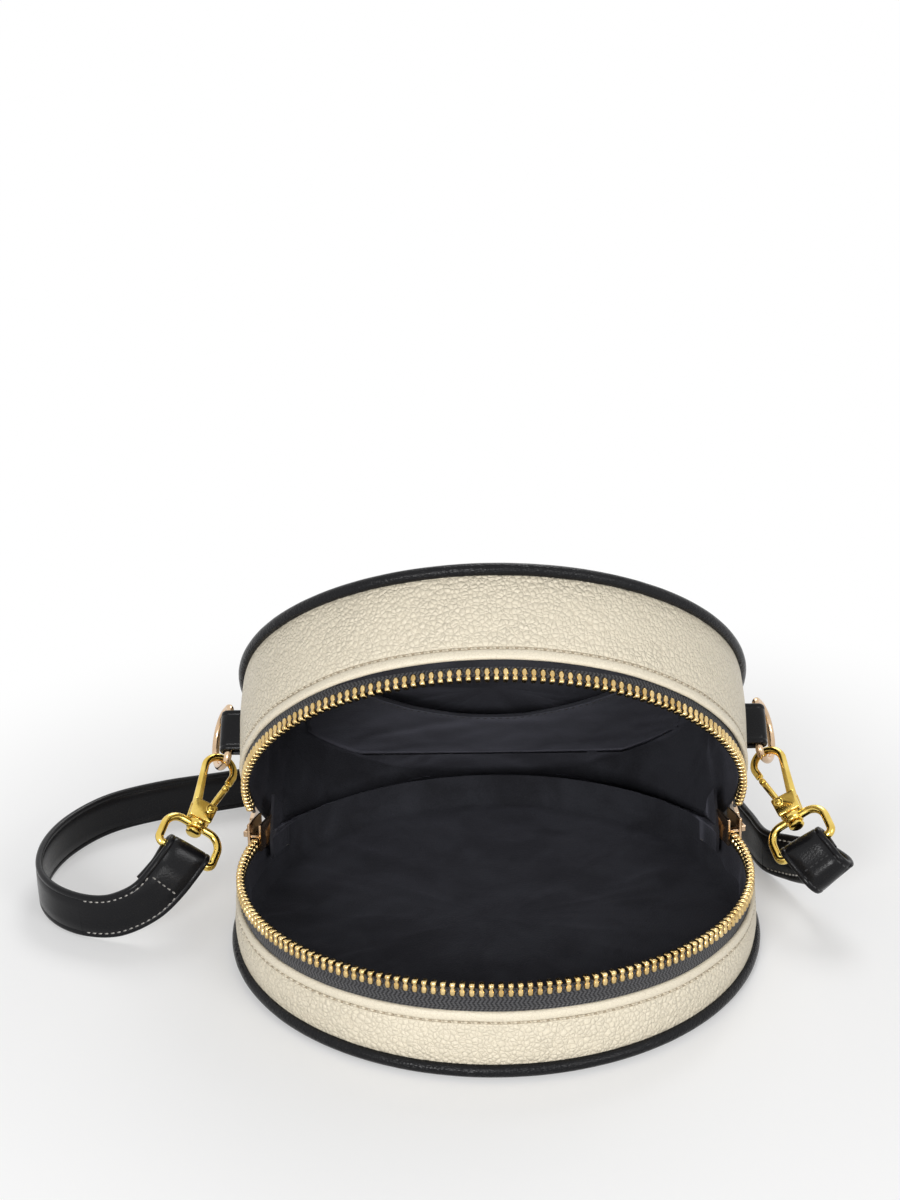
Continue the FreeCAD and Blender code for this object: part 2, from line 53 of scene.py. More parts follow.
lining_inner = 94.7
seam_height = 3.0
floor_lining = 3.8
roof_lining = 77.2
hinge_y = 25.440326
hinge_z = 11.1
open_angle = 48.0
floor_clearance = 5.4
rim_height = 28.3
rim_slope = 4.0
row_gap = 1.6
tape_reveal = 7.5
tooth_radius = 95.5
tooth_pitch_angle = 1.92
back_row_end = 13.0
front_row_end = 5.5
back_tape_tail = 20.0
front_tape_tail = 9.0
X_AXIS = Vector((1, 0, 0))
Y_AXIS = Vector((0, 1, 0))
Z_AXIS = Vector((0, 0, 1))
slope = math.tan(math.radians(rim_slope))
tilt = math.cos(math.radians(rim_slope))
hinge = Vector((0, hinge_y, hinge_z))
swing_open = Matrix.Rotation(math.radians(-open_angle), 3, "X")
lean_rim = Matrix.Rotation(math.radians(-rim_slope), 3, "X")


# Shapes


def polar(angle, radius, height):
    turn = math.radians(angle)
    return Vector((radius * math.cos(turn), radius * math.sin(turn), height))


def opened(p):
    """Carry a point of the shut front shell to its open place."""
    return hinge + swing_open @ (p - hinge)


def on_rim(angle, radius, height):
    """A point of the sloping zip rim."""
    return lean_rim @ polar(angle, radius, height) + Vector((0, 0, rim_height))


def soft(p, size, seed=0.0):
    """Smooth noise from -1 to 1 with bumps of about that size."""
    return noise.noise(Vector((p.x / size + seed, p.y / size - seed, p.z / size + 2 * seed)))


def ease(value, low, high):
    share = min(1.0, max(0.0, (value - low) / (high - low)))
    return share * share * (3 - 2 * share)


def finished(name, mesh, material, body=None, replaces=(), sharp=None):
    """Make the object, dress it, and put it on its body."""
    for polygon in mesh.polygons:
        polygon.use_smooth = True
    if sharp:
        mesh.set_sharp_from_angle(angle=math.radians(sharp))
    piece = bpy.data.objects.new(name, mesh)
    bpy.context.scene.collection.objects.link(piece)
    for one in material if isinstance(material, list) else [material]:
        mesh.materials.append(one)
    if replaces:
        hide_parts(*replaces)
    if body:
        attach(piece, body)
    return piece


def skin(name, rings, loop=False, ends=True):
    """A mesh through rings of points in millimetres, with lengths along and around kept as a map."""
    made = bmesh.new()
    lay = made.loops.layers.uv.new("lay")
    rows = [[made.verts.new(p * MM) for p in ring] for ring in rings]
    count = len(rings[0])
    along = [0.0]
    for first, second in zip(rings, rings[1:] + rings[:1]):
        along.append(along[-1] + sum((b - a).length for a, b in zip(first, second)) / count * MM)
    around = [0.0]
    middle = rings[len(rings) // 2]
    for a, b in zip(middle, middle[1:] + middle[:1]):
        around.append(around[-1] + (b - a).length * MM)
    for i in range(len(rows) if loop else len(rows) - 1):
        k = (i + 1) % len(rows)
        for j in range(count):
            n = (j + 1) % count
            face = made.faces.new((rows[i][j], rows[i][n], rows[k][n], rows[k][j]))
            places = ((i, j), (i, j + 1), (i + 1, j + 1), (i + 1, j))
            for corner, (u, v) in zip(face.loops, places):
                corner[lay].uv = (along[u], around[v])
    if ends and not loop:
        made.faces.new(rows[0][::-1])
        made.faces.new(rows[-1])
    bmesh.ops.recalc_face_normals(made, faces=made.faces)
    mesh = bpy.data.meshes.new(name)
    made.to_mesh(mesh)
    made.free()
    return mesh


def joined(name, parts):
    """One mesh from several."""
    made = bmesh.new()
    for part in parts:
        made.from_mesh(part)
        bpy.data.meshes.remove(part)
    mesh = bpy.data.meshes.new(name)
    made.to_mesh(mesh)
    made.free()
    return mesh


def circle(centre, across, up, radius, count, flat=1.0):
    """A round or flattened ring of points."""
    ring = []
    for i in range(count):
        turn = 2 * math.pi * i / count
        ring.append(centre + across * (radius * math.cos(turn)) + up * (radius * flat * math.sin(turn)))
    return ring


def frames_along(path, hint, loop=False):
    """Direction, side and up at each point of a path; up stays near the hint."""
    out = []
    last = len(path) - 1
    for i in range(len(path)):
        if loop:
            way = path[(i + 1) % len(path)] - path[i - 1]
        else:
            way = path[min(i + 1, last)] - path[max(i - 1, 0)]
        way.normalize()
        side = way.cross(hint)
        side.normalize()
        out.append((way, side, side.cross(way)))
    return out


def wire(name, path, radius, hint, loop=False, count=14, flat=1.0):
    """A round bar along a path; radius may be one value or one per point."""
    rings = []
    for i, (_, side, up) in enumerate(frames_along(path, hint, loop)):
        size = radius[i] if isinstance(radius, list) else radius
        rings.append(circle(path[i], side, up, size, count, flat))
    return skin(name, rings, loop)


def turned(name, origin, along, profile, count=24):
    """A lathe body: pairs of station and radius along an axis."""
    across = along.orthogonal().normalized()
    up = along.cross(across)
    return skin(name, [circle(origin + along * s, across, up, r, count) for s, r in profile])


def arc(centre, first, second, radius, start, end, steps):
    points = []
    for i in range(steps + 1):
        turn = math.radians(start + (end - start) * i / steps)
        points.append(centre + first * (radius * math.cos(turn)) + second * (radius * math.sin(turn)))
    return points


def smooth_route(points, per_run):
    """Points on a smooth curve through the given ones."""
    out = []
    last = len(points) - 1
    for i in range(last):
        p0 = points[max(i - 1, 0)]
        p1 = points[i]
        p2 = points[i + 1]
        p3 = points[min(i + 2, last)]
        for k in range(per_run):
            t = k / per_run
            out.append(
                0.5 * (
                    2 * p1 + (p2 - p0) * t + (2 * p0 - 5 * p1 + 4 * p2 - p3) * t * t
                    + (3 * p1 - p0 - 3 * p2 + p3) * t**3
                )
            )
    out.append(points[-1].copy())
    return out


def stitches(name, line, outs, pitch, length, radius, sink):
    """Short threads along a line of points; outs are the surface directions there."""
    lengths = [0.0]
    for a, b in zip(line, line[1:]):
        lengths.append(lengths[-1] + (b - a).length)

    def at(distance):
        i = 0
        while i < len(line) - 2 and lengths[i + 1] < distance:
            i += 1
        share = (distance - lengths[i]) / (lengths[i + 1] - lengths[i])
        return line[i].lerp(line[i + 1], share), outs[i].lerp(outs[i + 1], share).normalized()

    parts = []
    for k in range(int((lengths[-1] - length) / pitch)):
        start = pitch * (k + 0.5)
        rings = []
        for share, size in ((0, 0.35), (0.14, 0.85), (0.5, 1.0), (0.86, 0.85), (1, 0.35)):
            p, out = at(start + length * share)
            ahead = at(start + length * share + pitch / 10)[0]
            way = (ahead - p).normalized()
            side = way.cross(out).normalized()
            lift = radius * (size - 1.25) * 1.5 - sink
            rings.append(circle(p + out * lift, side, out, radius * size, 8))
        parts.append(skin(name, rings))
    return joined(name, parts)


# Finishes


class Wire:
    """One socket of a finish. Arithmetic on it adds Math nodes."""

    def __init__(self, tree, socket=None):
        self.tree = tree
        self.socket = socket

    def node(self, kind, settings=None, inputs=None, output=0):
        """Add a node: its settings first, then the values or wires of its sockets."""
        made = self.tree.nodes.new("ShaderNode" + kind)
        for key, value in (settings or {}).items():
            if key == "stops":
                for stop, (place, colour) in zip(made.color_ramp.elements, value):
                    stop.position = place
                    stop.color = colour
            else:
                setattr(made, key, value)
        for key, value in (inputs or {}).items():
            if isinstance(value, Wire):
                self.tree.links.new(value.socket, made.inputs[key])
            else:
                made.inputs[key].default_value = value
        return Wire(self.tree, made.outputs[output] if len(made.outputs) else None)

    def maths(self, operation, first, second=0.0):
        return self.node("Math", {"operation": operation}, {0: first, 1: second})

    def __add__(self, other):
        return self.maths("ADD", self, other)

    def __radd__(self, other):
        return self.maths("ADD", other, self)

    def __sub__(self, other):
        return self.maths("SUBTRACT", self, other)

    def __rsub__(self, other):
        return self.maths("SUBTRACT", other, self)

    def __mul__(self, other):
        return self.maths("MULTIPLY", self, other)

    def __rmul__(self, other):
        return self.maths("MULTIPLY", other, self)

    def between(self, low, high):
        """0 below low, 1 above high, smooth between them."""
        settings = {"interpolation_type": "SMOOTHSTEP"}
        return self.node("MapRange", settings, {"Value": self, "From Min": low, "From Max": high})

    def blend(self, first, second):
        """Mix two colours by this value."""
        return self.node("Mix", {"data_type": "RGBA"}, {0: self, 6: first, 7: second}, 2)


def opened_finish(name):
    material = bpy.data.materials.new(name)
    material.use_nodes = True
    material.node_tree.nodes.clear()
    return material, Wire(material.node_tree)


def closed_finish(start, inputs):
    shader = start.node("BsdfPrincipled", None, inputs)
    start.node("OutputMaterial", None, {"Surface": shader})


def rgb(*values):
    return (*values, 1.0)


def leather(name, light, dark, cell, depth, rough, shine=0.45):
    """Grained leather. cell is the grain's size in metres, depth its height."""
    material, start = opened_finish(name)
    place = start.node("TexCoord", output="Object")
    drift = start.node("TexNoise", None, {"Vector": place, "Scale": 0.45 / cell, "Detail": 2.0}, "Color")
    bend = {0: drift, 1: (cell * 1.3,) * 3, 2: place}
    bent = start.node("VectorMath", {"operation": "MULTIPLY_ADD"}, bend)
    edge = {"feature": "DISTANCE_TO_EDGE"}
    large = start.node("TexVoronoi", edge, {"Vector": bent, "Scale": 1 / cell}, "Distance")
    small = start.node("TexVoronoi", edge, {"Vector": bent, "Scale": 2.3 / cell}, "Distance")
    dome_inputs = {"Vector": bent, "Scale": 1 / cell, "Smoothness": 0.45}
    dome = start.node("TexVoronoi", {"feature": "SMOOTH_F1"}, dome_inputs, "Distance")
    cloud = start.node("TexNoise", None, {"Vector": place, "Scale": 38.0, "Detail": 3.0})
    pores = start.node("TexNoise", None, {"Vector": place, "Scale": 3.0 / cell, "Detail": 2.0})
    strength = cloud.between(0.3, 0.7)
    pebble = (1 - dome) * 1.2 + large.between(0.0, 0.16) * 0.3
    finer = small.between(0.0, 0.3)
    height = pebble * (0.72 + 0.28 * strength) + finer * 0.075 + pores * 0.12
    line = large.between(0.0, 0.08) * 0.75 + small.between(0.0, 0.1) * 0.25
    tone = (line * 0.85 + cloud * 0.15 + pores * 0.1).between(0.1, 0.9)
    bump = start.node("Bump", None, {"Strength": 1.0, "Distance": depth, "Height": height})
    closed_finish(
        start,
        {
            "Base Color": tone.blend(rgb(*dark), rgb(*light)),
            "Roughness": rough + 0.12 * (1 - line) - 0.06 * cloud,
            "Normal": bump,
            "Specular IOR Level": shine,
        },
    )
    return material


def suede(name, light, dark, sheen):
    """Napped lining with brushed patches."""
    material, start = opened_finish(name)
    place = start.node("TexCoord", output="Object")
    patch = start.node("TexNoise", None, {"Vector": place, "Scale": 42.0, "Detail": 4.0, "Distortion": 0.6})
    nap = start.node("TexNoise", None, {"Vector": place, "Scale": 2400.0, "Detail": 3.0})
    weave = start.node("TexVoronoi", None, {"Vector": place, "Scale": 1500.0}, "Distance")
    tone = (patch.between(0.3, 0.7) * 0.35 + nap * 0.7).between(0.2, 0.85)
    fold = start.node("TexNoise", None, {"Vector": place, "Scale": 15.0, "Detail": 2.0, "Distortion": 0.5})
    wrinkle = 1 - start.maths("ABSOLUTE", fold - 0.5) * 5.0
    creases = {"Strength": 0.5, "Distance": 0.0016, "Height": wrinkle.between(0.0, 1.0)}
    soft_fold = start.node("Bump", None, creases)
    fine = {"Strength": 0.7, "Distance": 0.00025, "Height": nap * 0.6 + weave * 0.5, "Normal": soft_fold}
    bump = start.node("Bump", None, fine)
    closed_finish(
        start,
        {
            "Base Color": tone.blend(rgb(*dark), rgb(*light)),
            "Roughness": 0.86 + 0.1 * patch,
            "Normal": bump,
            "Sheen Weight": sheen,
            "Sheen Roughness": 0.45,
            "Sheen Tint": rgb(0.5, 0.5, 0.62),
            "Specular IOR Level": 0.25,
        },
    )
    return material


def webbing(name, light, dark, pitch):
    """Woven zip tape: a herringbone on the tape's own lengths."""
    material, start = opened_finish(name)
    lay = start.node("UVMap", {"uv_map": "lay"})
    parts = start.node("SeparateXYZ", None, {0: lay}, "X"), start.node("SeparateXYZ", None, {0: lay}, "Y")
    zigzag = start.maths("PINGPONG", parts[1] * (0.5 / pitch), 0.5)
    ribs = start.maths("SINE", (parts[0] * (1 / pitch) + zigzag * 1.4) * (2 * math.pi))
    picks = start.maths("SINE", parts[1] * (2 * math.pi * 2.2 / pitch))
    height = ribs * 0.5 + picks * 0.25 + 0.5
    bump = start.node("Bump", None, {"Strength": 0.9, "Distance": 0.00022, "Height": height})
    closed_finish(
        start,
        {
            "Base Color": height.between(0.0, 1.0).blend(rgb(*dark), rgb(*light)),
            "Roughness": 0.82 - 0.15 * height,
            "Normal": bump,
            "Sheen Weight": 0.15,
            "Specular IOR Level": 0.3,
        },
    )
    return material


def plated(name, light, dark, rough, scratch):
    """Plated metal with faint polishing marks and cloudy patches."""
    material, start = opened_finish(name)
    place = start.node("TexCoord", output="Object")
    cloud = start.node("TexNoise", None, {"Vector": place, "Scale": 160.0, "Detail": 3.0})
    polish = {"Vector": place, "Scale": 1900.0, "Detail": 4.0, "Distortion": 1.5}
    marks = start.node("TexNoise", None, polish)
    bump = start.node("Bump", None, {"Strength": 0.5, "Distance": scratch, "Height": marks + 2.0 * cloud})
    closed_finish(
        start,
        {
            "Base Color": cloud.between(0.25, 0.75).blend(rgb(*dark), rgb(*light)),
            "Metallic": 1.0,
            "Roughness": rough + 0.1 * cloud + 0.06 * marks,
            "Normal": bump,
        },
    )
    return material


def thread(name, light, dark):
    """Twisted sewing thread."""
    material, start = opened_finish(name)
    lay = start.node("UVMap", {"uv_map": "lay"})
    along = start.node("SeparateXYZ", None, {0: lay}, "X")
    around = start.node("SeparateXYZ", None, {0: lay}, "Y")
    ply = start.maths("SINE", (along * 1500.0 + around * 900.0) * 2.0) * 0.5 + 0.5
    bump = start.node("Bump", None, {"Strength": 0.8, "Distance": 0.0001, "Height": ply})
    closed_finish(
        start,
        {
            "Base Color": ply.blend(rgb(*dark), rgb(*light)),
            "Roughness": 0.75 - 0.15 * ply,
            "Normal": bump,
            "Sheen Weight": 0.2,
        },
    )
    return material


def fibre_board(name):
    material, start = opened_finish(name)
    place = start.node("TexCoord", output="Object")
    fleck = start.node("TexNoise", None, {"Vector": place, "Scale": 700.0, "Detail": 4.0})
    bump = start.node("Bump", None, {"Strength": 0.5, "Distance": 0.0002, "Height": fleck})
    tone = fleck.between(0.3, 0.7).blend(rgb(0.36, 0.3, 0.23), rgb(0.5, 0.43, 0.34))
    closed_finish(start, {"Base Color": tone, "Roughness": 0.8 + 0.1 * fleck, "Normal": bump})
    return material


cream_leather = leather(
    "cream_grained_leather", (0.73, 0.66, 0.52), (0.59, 0.52, 0.40), 0.0017, 0.00052, 0.45
)
edge_leather = leather("cream_folded_edge", (0.75, 0.68, 0.54), (0.62, 0.55, 0.43), 0.0012, 0.00014, 0.44)
# Darker leather for the faces of the stitch grooves: painted shade in the grooves, not a different leather
# colour.
seam_groove_painted_shade = leather(
    "cream_seam_groove_painted_shade", (0.42, 0.35, 0.25), (0.24, 0.20, 0.14), 0.0011, 0.00012, 0.6, 0.3
)
black_light = (0.007, 0.007, 0.008)
black_dark = (0.004, 0.004, 0.005)
piping_leather = leather("black_piping_leather", black_light, black_dark, 0.0012, 0.00014, 0.24, 0.17)
strap_leather = leather("black_strap_leather", black_light, black_dark, 0.0009, 0.000025, 0.24, 0.17)
lining_suede = suede("black_lining_suede", (0.029, 0.030, 0.037), (0.011, 0.011, 0.014), 0.18)
tape_weave = webbing("black_zip_tape", (0.065, 0.065, 0.07), (0.010, 0.010, 0.012), 0.0015)
pale_gold = plated("pale_gold_teeth", (0.84, 0.64, 0.32), (0.58, 0.40, 0.16), 0.13, 0.00001)
bright_gold = plated("bright_gold_fittings", (0.90, 0.68, 0.20), (0.70, 0.48, 0.10), 0.08, 0.000004)
rose_gold = plated("rose_gold_rings", (0.78, 0.57, 0.38), (0.54, 0.37, 0.23), 0.11, 0.000006)
cream_thread = thread("cream_thread", (0.72, 0.65, 0.51), (0.44, 0.38, 0.28))
grey_thread = thread("grey_thread", (0.46, 0.44, 0.41), (0.16, 0.15, 0.14))
black_thread = thread("black_thread", (0.02, 0.02, 0.022), (0.006, 0.006, 0.007))
board_finish = fibre_board("fibre_board")


# Shells


stitch_inset = 3.9
mouth_reveal = 2.8


def stay(p):
    return p


def back_edge(y):
    """Height of the back gusset's folded edge; the tape stands further out at the mouth."""
    return rim_height - tape_reveal / tilt - y * slope - mouth_reveal * ease(-y, 5, 80)


def front_edge(y):
    """Height, shut, of the front gusset's folded edge, or of the cut that clears the floor."""
    zip_edge = rim_height + (row_gap + tape_reveal) / tilt - y * slope
    turn = math.radians(open_angle)
    floor_edge = hinge_z + ((y - hinge_y) * math.sin(turn) - hinge_z + floor_clearance) / math.cos(turn)
    return max(zip_edge, floor_edge)


body_shares = ((0.1, 0.45), (0.22, 0.8), (0.36, 1.0), (0.5, 0.98), (0.63, 0.72))
edge_outline = (
    (5.8, 0.34), (stitch_inset + 0.55, 0.12), (stitch_inset, -0.5), (stitch_inset - 0.55, 0.14),
    (2.2, 0.42), (1.1, 0.4), (0.35, 0.08), (0.0, -0.5), (0.05, -1.15), (0.6, -1.6),
)


def wall_section(seam, edge, bulge):
    """A gusset wall's outline: heights and offsets from the outer face, seam first."""
    length = abs(edge - seam)
    sign = 1 if edge > seam else -1
    fit = min(1.0, length / 18)
    outline = [(-0.8, -1.3), (0.4, -0.3)]
    outline += [(length * share, bulge * fit * size) for share, size in body_shares]
    outline += [(length - inset * fit, offset * fit - 0.6 * (1 - fit)) for inset, offset in edge_outline]
    outline += [(length * 0.5, -1.7), (0.4, -1.7), (-0.8, -1.6)]
    return [(seam + sign * d, wall_outer + offset) for d, offset in outline]


def gusset(name, node, body, seam, edge_of, bulge, least, carry, seed):
    """A grained wall with a folded, stitched edge."""
    steps = 264
    rings = []
    for i in range(steps):
        angle = 360 * i / steps
        edge = edge_of(wall_outer * math.sin(math.radians(angle)))
        if abs(edge - seam) < least or (edge > seam) != (edge_of(0) > seam):
            edge = seam + math.copysign(least, edge_of(0) - seam)
        ring = []
        for height, radius in wall_section(seam, edge, bulge):
            p = polar(angle, radius, height)
            give = 0.5 * soft(p, 34, seed) + 0.16 * soft(p, 11, seed)
            near_seam = ease(abs(height - seam), 1, 9)
            ring.append(carry(polar(angle, radius + give * near_seam, height)))
        rings.append(ring)
    mesh = skin(name, rings, loop=True)
    count = len(rings[0])
    groove = 2 + len(body_shares) + 1
    piece = finished(name, mesh, [cream_leather, edge_leather, seam_groove_painted_shade], body, [node])
    # Groove rows take the darker painted-shade leather, the folded edge rows the edge leather, the rest the
    # grained leather.
    for polygon in mesh.polygons:
        row = polygon.index % count - groove
        polygon.material_index = 2 if 0 <= row < 2 else 1 if 2 <= row < 9 else 0
    return piece


def edge_stitches(name, body, seam, edge_of, carry, start, end):
    line = []
    outs = []
    steps = 420
    for i in range(steps + 1):
        angle = start + (end - start) * i / steps
        y = wall_outer * math.sin(math.radians(angle))
        edge = edge_of(y)
        inset = math.copysign(stitch_inset, seam - edge)
        p = polar(angle, wall_outer - 0.1, edge + inset)
        line.append(carry(p))
        outs.append(carry(p + polar(angle, 1, 0)) - carry(p))
    mesh = stitches(name, line, outs, 3.3, 2.35, 0.42, -0.3)
    return finished(name, mesh, cream_thread, body)


front_seam = bag_depth - seam_height
gusset("back_gusset_leather", "back_gusset", "back_shell", seam_height, back_edge, 0.9, 6.0, stay, 3.1)
gusset("front_gusset_leather", "front_gusset", "front_shell", front_seam, front_edge, 1.1, 1.6, opened, 7.7)
edge_stitches("back_edge_stitches", "back_shell", seam_height, back_edge, stay, -203, 23)
edge_stitches("front_edge_stitches", "front_shell", front_seam, front_edge, opened, -204, 24)


def piping(name, node, body, height, carry, seed):
    rings = []
    steps = 240
    for i in range(steps):
        angle = 360 * i / steps
        out = polar(angle, 1, 0)
        centre = polar(angle, bead_circle, height)
        size = bead_radius * (1 + 0.02 * soft(centre, 9, seed) + 0.012 * soft(centre, 3.5, seed))
        rings.append([carry(p) for p in circle(centre, out, Z_AXIS, size, 18)])
    return finished(name, skin(name, rings, loop=True), piping_leather, body, [node])


piping("back_piping_cord", "back_piping", "back_shell", bead_height, stay, 1.3)
piping("front_piping_cord", "front_piping", "front_shell", bag_depth - bead_height, opened, 5.9)

# Discs: pairs of radius and height from the middle of the outer face round to the inner face.
disc_outer = [(0.5, 0), (12, 0), (24, 0), (36, 0), (48, 0), (60, 0), (70, 0), (80, 0), (87, 0), (92, 0.02)]
disc_rim = [(94.4, 0.2), (95.6, 0.6), (96.0, 1.1), (95.4, 1.5), (93, 1.58)]
disc_inner = [(60, 1.6), (30, 1.6), (0.5, 1.6)]


def disc(name, node, body, crown, carry, seed):
    rings = []
    for radius, depth in disc_outer + disc_rim + disc_inner:
        ring = []
        for i in range(144):
            angle = 360 * i / 144
            p = polar(angle, radius, depth)
            lift = crown * (1 - (radius / 96) ** 2) if depth < 0.1 else 0
            lift += crown * 0.12 * soft(p, 40, seed) * ease(96 - radius, 2, 20)
            ring.append(carry(polar(angle, radius, depth - lift)))
        rings.append(ring)
    return finished(name, skin(name, rings), cream_leather, body, [node])


disc("back_panel_leather", "back_panel", "back_shell", 0.0, stay, 2.2)
disc(
    "front_panel_leather", "front_panel", "front_shell", 2.4,
    lambda p: opened(Vector((p.x, p.y, bag_depth - p.z))), 8.4,
)


# Linings


def ridge(p, size, seed):
    """Thin soft creases, from 0 to 1."""
    return (1 - abs(soft(p, size, seed))) ** 6


lining_lip = 2.6
floor_shares = (0.006, 0.1, 0.2, 0.3, 0.4, 0.5, 0.6, 0.68, 0.76, 0.84, 0.9)
corner = 5.0
wall_shares = (0.12, 0.25, 0.4, 0.55, 0.7, 0.85, 0.95, 1.0)


def lining(name, node, body, floor, edge_of, carry, seed, crease):
    """A sewn bowl of suede: its floor, a rounded corner and its wall up to the zip tape."""
    steps = 216
    rows = len(floor_shares) + 4 + len(wall_shares)
    rings = [[] for _ in range(rows + 4)]
    for i in range(steps):
        angle = 360 * i / steps
        edge = edge_of(lining_inner * math.sin(math.radians(angle)))
        sign = 1 if edge_of(0) > floor else -1
        length = max(corner + 0.6, (edge - floor) * sign)
        line = [(lining_inner * share, 0.0) for share in floor_shares]
        for k in range(4):
            turn = math.radians(90 * (k + 0.5) / 4)
            line.append((lining_inner - corner + corner * math.sin(turn), corner - corner * math.cos(turn)))
        line += [(lining_inner, corner + (length - corner) * share) for share in wall_shares]
        for row, (radius, rise) in enumerate(line):
            p = polar(angle, radius, rise)
            flat = ease(lining_inner - radius, 0, 12)
            shade = ease(length - rise, 0, 12)
            creases = 0.9 * ridge(p, 30, seed) + 0.6 * ridge(p, 17, seed + 5)
            push = crease * creases * (0.25 + 0.75 * ease(radius, 5, 60))
            upright = (1 - flat) * shade * (1.1 * ridge(Vector((p.x, p.y, p.z * 0.3)), 16, seed + 2) + 0.2)
            rise_out = rise + push * flat
            radius_in = radius - crease * upright
            rings[row].append(carry(polar(angle, radius_in, floor + sign * rise_out)))
        under = ((lining_inner + 0.5, length), (lining_inner + 0.6, length * 0.5))
        under += ((lining_inner - 4, -0.5), (0.6, -0.5))
        for extra, (radius, rise) in enumerate(under):
            rings[rows + extra].append(carry(polar(angle, radius, floor + sign * rise)))
    return finished(name, skin(name, rings), lining_suede, body, [node])


def back_lining_edge(y):
    return rim_height - tape_reveal / tilt - y * slope + lining_lip


def front_lining_edge(y):
    zip_edge = rim_height + (row_gap + tape_reveal) / tilt - y * slope
    edge = front_edge(y)
    return edge - lining_lip * (1 - ease(edge - zip_edge, 0, 2))


lining("back_lining_suede", "back_lining", "back_shell", floor_lining, back_lining_edge, stay, 1.7, 1.3)
lining("front_lining_suede", "front_lining", "front_shell", roof_lining, front_lining_edge, opened, 6.3, 1.9)

# Slip pocket: sewn at its sides and floor, with a hemmed mouth that sags open.
pocket_radius = 86.0
pocket_half = 76.5
pocket_floor_y = 66.0
mouth_y = -22.0
mouth_sag = 14.0
hem_dip = 14.0


def pocket_point(across, down, lift):
    x = pocket_half * across
    mouth = mouth_y - mouth_sag + (2 * mouth_sag + hem_dip) * (1 - across * across)
    foot = min(pocket_floor_y, math.sqrt(pocket_radius**2 - x * x))
    y = mouth + (foot - mouth) * down
    middle = 1 - across * across
    belly = 2.0 * math.sqrt(max(0, middle)) * math.sin(math.pi * min(1, down * 0.9 + 0.1))
    gape = 7.0 * middle * (1 - down) ** 3
    folds = 0.7 * middle * ridge(Vector((x, y, 0)), 24, 4.4) * math.sin(math.pi * min(1, down + 0.12))
    sewn = min(1.0, 6 * (1 - abs(across))) * min(1.0, 6 * (1 - down))
    gap = 0.9 + (0.8 + belly + gape + folds) * sewn
    return opened(Vector((x, y, roof_lining - gap - lift)))


pocket_rings = []
for i in range(73):
    across = -1 + 2 * i / 72
    ring = []
    hem = ((0.035, 0.85), (0.02, 1.15), (0.0, 0.95), (-0.008, 0.4), (0.0, -0.1), (0.02, -0.25))
    downs = [1, 0.92, 0.84, 0.75, 0.66, 0.57, 0.48, 0.4, 0.32, 0.25, 0.18, 0.12, 0.08, 0.05]
    ring += [pocket_point(across, down, 0.7) for down in downs]
    ring += [pocket_point(across, down, lift) for down, lift in hem]
    ring += [pocket_point(across, down, 0.0) for down in downs[::-1]]
    pocket_rings.append(ring)
pocket_mesh = skin("slip_pocket_suede", pocket_rings)
finished("slip_pocket_suede", pocket_mesh, lining_suede, "front_shell", ["slip_pocket"])
hem_line = [pocket_point(-0.97 + 1.94 * i / 120, 0.075, 0.75) for i in range(121)]
hem_out = [pocket_point(-0.97 + 1.94 * i / 120, 0.075, 1.75) - hem_line[i] for i in range(121)]
finished(
    "slip_pocket_stitches", stitches("slip_pocket_stitches", hem_line, hem_out, 3.0, 2.1, 0.22, -0.12),
    black_thread, "front_shell",
)

# Zip tapes with a corded edge, and clamped teeth.
tape_outline = (
    (95.1, -12.4), (95.08, -7.0), (95.08, -5.0), (95.02, -3.6), (94.8, -3.0), (94.9, -2.3), (95.5, -2.0),
    (96.1, -2.3), (96.2, -3.0), (95.98, -3.6), (95.92, -5.0), (95.92, -7.0), (95.9, -12.4),
)
tooth_outline = (
    (-4.4, 1.3, 0.66), (-4.25, 1.55, 0.9), (-3.3, 1.6, 0.94), (-2.7, 1.5, 0.86), (-2.2, 1.38, 0.62),
    (-1.9, 1.36, 0.58), (-1.5, 1.45, 0.74), (-1.0, 1.55, 0.95), (-0.5, 1.5, 0.93), (-0.15, 1.25, 0.74),
    (0.0, 0.75, 0.44),
)


def zip_side(name, body, end, foot_sign, lift, carry, tape_end, nodes):
    """One tape and its row of teeth; foot_sign turns the section over for the upper row."""
    rings = []
    steps = 170
    for i in range(steps + 1):
        angle = -180 - tape_end + (180 + 2 * tape_end) * i / steps
        rings.append([carry(on_rim(angle, r, lift + foot_sign * h)) for r, h in tape_outline])
    tape = name + "_tape_weave"
    finished(tape, skin(tape, rings), tape_weave, body, [nodes[0]])
    count = int((180 + 2 * end) / tooth_pitch_angle) + 1
    start = -90 - (count - 1) * tooth_pitch_angle / 2
    parts = []
    for k in range(count):
        angle = start + k * tooth_pitch_angle
        out = lean_rim @ polar(angle, 1, 0)
        side = lean_rim @ polar(angle + 90, 1, 0)
        tooth = []
        for height, deep, wide in tooth_outline:
            centre = on_rim(angle, tooth_radius, lift + foot_sign * height)
            ring = []
            for j in range(12):
                turn = 2 * math.pi * (j + 0.5) / 12
                c = math.cos(turn)
                s = math.sin(turn)
                squarish = (abs(c) ** 5 + abs(s) ** 5) ** -0.2
                ring.append(carry(centre + out * (deep * c * squarish) + side * (wide * s * squarish)))
            tooth.append(ring)
        parts.append(skin(name, tooth))
    mesh = joined(name + "_teeth_row", parts)
    finished(name + "_teeth_row", mesh, pale_gold, body, [nodes[1]])


zip_side(
    "back_zip", "back_shell", back_row_end, 1, 0, stay, back_tape_tail,
    ("back_zip_tape", "back_zip_teeth"),
)
zip_side(
    "front_zip", "front_shell", front_row_end, -1, row_gap, opened, front_tape_tail,
    ("front_zip_tape", "front_zip_teeth"),
)

